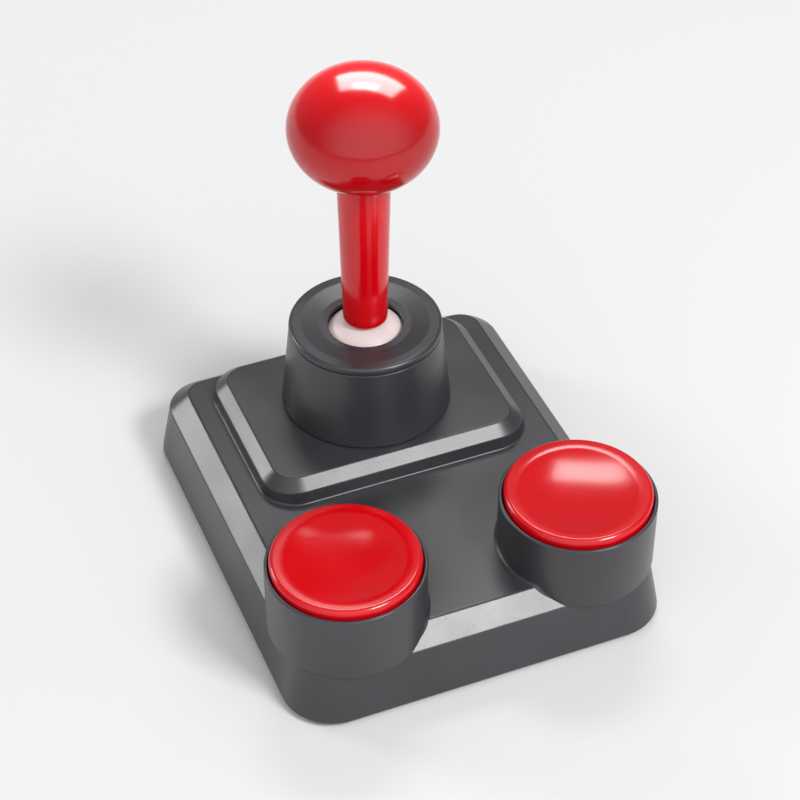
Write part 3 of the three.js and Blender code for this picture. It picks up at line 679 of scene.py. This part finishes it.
# %% [markdown]
# A case screw is pressed from wire, and a punch leaves the cross recess in its head. The recess could be cut
# with a Boolean. Here the head's outer face is sunk where it lies near either arm of the cross, which gives
# the sloping sides that a real punch leaves.


# %% Case screws
head_radius, shank_radius = 3.0, 1.4
head_thick, head_round, head_lip = 1.2, 0.35, 0.1
arm_half_width, arm_slope = 0.42, 0.12
cross_reach, cross_slope, cross_taper = 1.75, 0.25, 0.35
face_rings = 26


def screw_head(low, high, recess=1.0):
    """A screw whose head's outer face sinks in a cross: depth falls with distance from either arm."""
    seat = low[2] + head_thick
    radii = np.linspace(0, head_radius - head_round, face_rings)
    profile = np.concatenate([
        [(0, high[2]), (shank_radius, high[2] - shank_radius), (shank_radius, seat), (head_radius, seat),
         (head_radius, low[2] + head_round), (head_radius - head_lip, low[2] + head_lip)],
        np.stack([radii[::-1], np.full(face_rings, low[2])], -1)])
    grid = turned(profile, segments=96)
    face = grid[-face_rings:]
    reach = np.hypot(face[..., 0], face[..., 1])
    arm = np.minimum(np.abs(face[..., 0]), np.abs(face[..., 1]))
    inside = (np.clip((arm_half_width - arm) / arm_slope, 0, 1)
              * np.clip((cross_reach - reach) / cross_slope, 0, 1))
    face[..., 2] += recess * inside * (1 - cross_taper * reach / cross_reach)
    grid[..., :2] += (low[:2] + high[:2]) / 2
    return grid


for node in [name for name in frame["nodes"] if name.startswith("case_screw_")]:
    settle(piece("cross_" + node, screw_head(*corners(node))), "case", "zinc_screw", node)

# %% [markdown]
# ## Finishes
# Each material starts from what the real one is. Colours are sRGB hex values, and one function turns them to
# linear light. One small function adds a node with its settings and links.


# %% Colour and node helpers
def linear(hex_text):
    """A six-digit sRGB hex colour as linear RGBA."""
    channels = np.array([int(hex_text[i:i + 2], 16) / 255 for i in (0, 2, 4)])
    light = np.where(channels <= 0.04045, channels / 12.92, ((channels + 0.055) / 1.055) ** 2.4)
    return (*light.tolist(), 1.0)


def add_node(tree, kind, inputs=None, **settings):
    """Adds a node; an input that is given a socket is linked, and any other value is set."""
    node = tree.nodes.new("ShaderNode" + kind)
    for key, value in settings.items():
        setattr(node, key, value)
    for key, value in (inputs or {}).items():
        if isinstance(value, bpy.types.NodeSocket):
            tree.links.new(value, node.inputs[key])
        else:
            node.inputs[key].default_value = value
    return node


def ramp(tree, factor, stops):
    """A colour ramp through (position, hex) stops."""
    node = add_node(tree, "ValToRGB", {"Fac": factor})
    elements = node.color_ramp.elements
    while len(elements) < len(stops):
        elements.new(0.5)
    for element, (position, hex_text) in zip(elements, stops):
        element.position, element.color = position, linear(hex_text)
    return node.outputs["Color"]


def new_material(name):
    """An empty node material with its output."""
    material = bpy.data.materials.new(name)
    material.use_nodes = True
    material.node_tree.nodes.clear()
    return material, material.node_tree, add_node(material.node_tree, "OutputMaterial")


print("the case's grey in linear light:", [round(v, 4) for v in linear("2d2d30")])

# %% [markdown]
# Moulded plastic has an index of refraction of about 1.53. Its colour is in the material, so it hardly
# varies: a ramp moves it by a few steps over patches 30 mm across. Handling polishes the same patches, and
# thin scratches leave their lines a little less sharp. The tool leaves a fine grain, drawn here 0.5 mm across
# because the true one is too fine to show. A picture of scratches could do this. Noise on Object coordinates
# needs no file and has the right size on every piece.


# %% Moulded plastic
patch_mm, scratch_mm, grain_mm = 30.0, 20.0, 0.5
scratch_turn, scratch_stretch = 0.6, 40.0   # the scratches' direction, and their length over their width


def moulded(name, dark, light, roughness, grain=0.02, spread=0.06):
    """A moulded plastic between two hex colours; roughness varies by spread, grain is the bump's strength."""
    material, tree, output = new_material(name)
    place = add_node(tree, "TexCoord").outputs["Object"]
    patches = add_node(tree, "TexNoise", {"Vector": place, "Scale": 1000 / patch_mm,
                                          "Detail": 3.0}).outputs["Fac"]
    tint = ramp(tree, patches, [(0.3, dark), (0.7, light)])
    aslant = add_node(tree, "Mapping", {"Vector": place, "Rotation": (0.0, 0.0, scratch_turn)})
    stretched = add_node(tree, "Mapping", {"Vector": aslant.outputs["Vector"],
                                           "Scale": (1.0, scratch_stretch, scratch_stretch)})
    streaks = add_node(tree, "TexNoise", {"Vector": stretched.outputs["Vector"],
                                          "Scale": 1000 / scratch_mm, "Detail": 1.0})
    scratches = add_node(tree, "MapRange", {"Value": streaks.outputs["Fac"], "From Min": 0.68,
                                            "From Max": 0.74}).outputs["Result"]
    worn = add_node(tree, "MapRange", {"Value": patches, "From Min": 0.3, "From Max": 0.7,
                                       "To Min": roughness - spread, "To Max": roughness + spread})
    rough = add_node(tree, "Math", {0: scratches, 1: 0.05, 2: worn.outputs["Result"]},
                     operation="MULTIPLY_ADD")
    fine = add_node(tree, "TexNoise", {"Vector": place, "Scale": 1000 / grain_mm, "Detail": 2.0})
    bump = add_node(tree, "Bump", {"Height": fine.outputs["Fac"], "Strength": grain, "Distance": 0.0004})
    shader = add_node(tree, "BsdfPrincipled", {
        "Base Color": tint, "Roughness": rough.outputs["Value"], "IOR": 1.53,
        "Normal": bump.outputs["Normal"]})
    tree.links.new(shader.outputs["BSDF"], output.inputs["Surface"])
    return material


# %% The moulded finishes
# Grey ABS from a satin tool: dark, with soft broad shine along bevels
grey_abs = moulded("grey_abs_semi_gloss", "2d2d30", "353539", 0.32, grain=0.04, spread=0.03)
# Red ABS from a polished tool: deep colour under clear reflections of the lamps
red_abs = moulded("red_abs_glossy", "b8000a", "c2000e", 0.15, grain=0.01, spread=0.03)
# Natural nylon: a warm off-white, waxy rather than shiny
pale_nylon = moulded("natural_nylon_satin", "c9b9b8", "d4c6c4", 0.42, grain=0.05)
# Black nylon of the inner parts and the base plate: dull, with a grain that shows
black_nylon = moulded("black_nylon_grained", "1b1b1d", "242427", 0.55, grain=0.25)
# Pressed phenolic board between the contacts: brown and nearly matt
brown_phenolic = moulded("brown_phenolic", "2c2019", "3a2c22", 0.5, grain=0.15)
# Solder mask on the circuit board: a smooth green lacquer
solder_mask = moulded("green_solder_mask", "14401f", "1c5229", 0.3, grain=0.05)
print("moulded finishes:", len(bpy.data.materials))

# %% [markdown]
# Rubber is matt and takes dust. The dust is a fine noise that tints and roughens the black, and the shader's
# own sheen lays a pale veil on edges. Steel, zinc and bronze are metals: their colour is the reflection's,
# and they keep the default index of refraction. Fine marks from rolling and turning run round them, so their
# noise is squeezed along Z.


# %% Rubber and metals
def rubber(name, dust_mm=4.0):
    """Black rubber with dust in spots of this size."""
    material, tree, output = new_material(name)
    place = add_node(tree, "TexCoord").outputs["Object"]
    dust = add_node(tree, "TexNoise", {"Vector": place, "Scale": 1000 / dust_mm, "Detail": 4.0})
    tint = ramp(tree, dust.outputs["Fac"], [(0.35, "171717"), (0.75, "232323")])
    bump = add_node(tree, "Bump", {"Height": dust.outputs["Fac"], "Strength": 0.3, "Distance": 0.0002})
    shader = add_node(tree, "BsdfPrincipled", {"Base Color": tint, "Roughness": 0.82, "IOR": 1.52,
                                               "Sheen Weight": 0.15, "Normal": bump.outputs["Normal"]})
    tree.links.new(shader.outputs["BSDF"], output.inputs["Surface"])
    return material


def metal(name, dark, light, roughness, mark_mm=0.3, squeeze=12.0, spread=0.08):
    """A metal between two hex colours, with marks that are mark_mm apart along Z and longer across it."""
    material, tree, output = new_material(name)
    place = add_node(tree, "TexCoord").outputs["Object"]
    squeezed = add_node(tree, "Mapping", {"Vector": place, "Scale": (1.0, 1.0, squeeze)}).outputs["Vector"]
    marks = add_node(tree, "TexNoise", {"Vector": squeezed, "Scale": 1000 / mark_mm / squeeze,
                                        "Detail": 3.0}).outputs["Fac"]
    tint = ramp(tree, marks, [(0.3, dark), (0.7, light)])
    rough = add_node(tree, "MapRange", {"Value": marks, "To Min": roughness - spread,
                                        "To Max": roughness + spread}).outputs["Result"]
    bump = add_node(tree, "Bump", {"Height": marks, "Strength": 0.1, "Distance": 0.0001})
    shader = add_node(tree, "BsdfPrincipled", {"Base Color": tint, "Metallic": 1.0, "Roughness": rough,
                                               "Normal": bump.outputs["Normal"]})
    tree.links.new(shader.outputs["BSDF"], output.inputs["Surface"])
    return material


# %% Which finish each slot takes
finishes = {
    "case_plastic": grey_abs,
    "red_plastic": red_abs,
    "pale_nylon": pale_nylon,
    "black_nylon": black_nylon,
    "rubber": rubber("black_rubber_matt"),
    "steel": metal("ground_steel", "9a9da1", "b9bcc0", 0.3),
    "zinc_screw": metal("bright_zinc_plate", "a3a5a2", "c2c4c0", 0.35),
    "circuit_board": solder_mask,
    "insulator": brown_phenolic,
    "contact_metal": metal("spring_bronze", "a5803f", "c9a558", 0.32),
}
print("finishes:", len(finishes))

# %% [markdown]
# A new piece names its finish slot itself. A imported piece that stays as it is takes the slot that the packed
# record gives it. One loop over all pieces serves both kinds, so no piece can be left without a finish.

# %% Give every piece its finish
slot_of_node = {part["node"]: part["material_slot"] for part in frame["record"]["subparts"]}
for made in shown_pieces():
    slot = made.get("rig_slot") or slot_of_node.get(made.get("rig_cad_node"))
    made.data.materials.clear()
    made.data.materials.append(finishes[slot])

# %% [markdown]
# ## Floor, light and camera
# The joystick stands on a pale matt floor, which runs on far enough that its edge never shows. It lies 0.1 mm
# under the feet, so that the two don't flicker through each other when seen from below.

# %% Floor
floor_reach, floor_z = 30.0, -0.0001   # in metres
floor_mesh = bpy.data.meshes.new("floor")
floor_mesh.from_pydata([(-floor_reach, -floor_reach, floor_z), (floor_reach, -floor_reach, floor_z),
                        (floor_reach, floor_reach, floor_z), (-floor_reach, floor_reach, floor_z)],
                       [], [(0, 1, 2, 3)])
floor = bpy.data.objects.new("floor", floor_mesh)
bpy.context.scene.collection.objects.link(floor)
floor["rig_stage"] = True
floor_material, tree, output = new_material("pale_floor")
shader = add_node(tree, "BsdfPrincipled", {"Base Color": linear("d4d4d4"), "Roughness": 0.9,
                                           "Specular IOR Level": 0.1})
tree.links.new(shader.outputs["BSDF"], output.inputs["Surface"])
floor_mesh.materials.append(floor_material)
print("floor reaches", floor_reach, "m each way")

# %% [markdown]
# The room round the object is a soft glow that is brightest towards a large window in front, and dim behind.
# An even white world would light every side alike and flatten the shapes. The glow is worked out from the
# angle between a direction and the window. Where the room itself is seen past the floor, it is plain pale.

# %% Surroundings
window = (-0.16, -0.90, 0.40)
dim_side, window_side, seen_room = 0.30, 1.4, 0.88
world = bpy.data.worlds.new("studio")
bpy.context.scene.world = world
world.use_nodes = True
tree = world.node_tree
direction = add_node(tree, "TexCoord").outputs["Generated"]
toward_window = add_node(tree, "VectorMath", {0: direction, 1: window},
                         operation="DOT_PRODUCT").outputs["Value"]
glow = add_node(tree, "MapRange", {"Value": toward_window, "From Min": 0.1, "From Max": 1.0,
                                   "To Min": dim_side, "To Max": window_side},
                interpolation_type="SMOOTHSTEP").outputs["Result"]
seen = add_node(tree, "LightPath").outputs["Is Camera Ray"]
strength = add_node(tree, "Mix", {"Factor": seen, "A": glow, "B": seen_room}).outputs["Result"]
tree.links.new(strength, tree.nodes["Background"].inputs["Strength"])
tree.nodes["Background"].inputs["Color"].default_value = linear("fafafc")
bpy.context.scene.view_settings.view_transform = "Standard"
print("the room's glow runs from", dim_side, "to", window_side)

# %% [markdown]
# Softboxes light the object, as in a small product studio. A flat face shines when a lamp stands where a
# mirror there would show it, so the front and left ones stand where the front and left bevels mirror them,
# and the back one gives the deck a soft sheen. On the round ball the first two would make small hard spots.
# Light linking keeps them off it and gives it one broad softbox of its own, which a studio does with screens.


# %% Lamps
def toward(azimuth, elevation):
    """(sin a cos e, -cos a cos e, sin e): azimuth 0 is in front and 90 to the right, in degrees."""
    a, e = math.radians(azimuth), math.radians(elevation)
    return Vector((math.sin(a) * math.cos(e), -math.cos(a) * math.cos(e), math.sin(e)))


def softbox(name, azimuth, elevation, width, height, brightness, distance, aim=Vector((0.0, 0.0, 0.045))):
    """A rectangular area lamp of a size in metres, turned to face the point that it aims at.

    Its power is brightness * pi * area, so that a face of brightness 1 would show as plain white.
    """
    lamp = bpy.data.lights.new(name, "AREA")
    lamp.shape, lamp.size, lamp.size_y = "RECTANGLE", width, height
    lamp.energy = brightness * math.pi * width * height
    light = bpy.data.objects.new(name, lamp)
    away = toward(azimuth, elevation)
    light.location = aim + away * distance
    light.rotation_euler = away.to_track_quat("Z", "Y").to_euler()
    bpy.context.scene.collection.objects.link(light)
    print(f"{name}: {lamp.energy:.1f} W")
    return light


def link_light(light, state, *objects):
    """INCLUDE: the lamp lights only these objects. EXCLUDE: it lights everything but them."""
    chosen = bpy.data.collections.new(light.name + "_objects")
    for made in objects:
        chosen.objects.link(made)
    for linked in chosen.collection_objects:
        linked.light_linking.link_state = state
    light.light_linking.receiver_collection = chosen


front = softbox("front_softbox", 27, 47, 0.40, 0.38, brightness=33, distance=1.5)
left = softbox("left_softbox", 224, 18.5, 0.40, 0.30, brightness=16, distance=1.5)
softbox("back_softbox", 154, 56, 0.56, 0.30, brightness=10, distance=1.5)
ball_light = softbox("ball_softbox", 150, 44, 0.95, 0.60, brightness=12, distance=1.0,
                     aim=Vector((0.0, stick_y, ball_centre)) / 1000)
link_light(ball_light, "INCLUDE", ball)
for light in (front, left):
    link_light(light, "EXCLUDE", ball)

# %% [markdown]
# The camera looks down on the joystick from the front left, through a long lens, so that the buttons in front
# don't swell next to the stick behind. Its turn is worked out from two angles, as a lamp's place is. A Track
# To constraint would aim it too, but would hide those angles.

# %% Camera
camera_data = bpy.data.cameras.new("camera")
camera_data.lens = 100.8
camera_data.clip_start, camera_data.clip_end = 0.01, 50.0
camera = bpy.data.objects.new("camera", camera_data)
camera.location = (-0.18094, -0.44305, 0.47366)
camera.rotation_euler = toward(-22.18, 41.56).to_track_quat("Z", "Y").to_euler()
bpy.context.scene.collection.objects.link(camera)
bpy.context.scene.camera = camera
print("lens", camera_data.lens, "mm, at", [round(v, 3) for v in camera.location])

# %% [markdown]
# The finer surfaces must not change the object's size, so the box of the finished one is printed.

# %% Print the finished box
low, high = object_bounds()
print("visual size in mm:", [round(v * 1000, 1) for v in high - low])
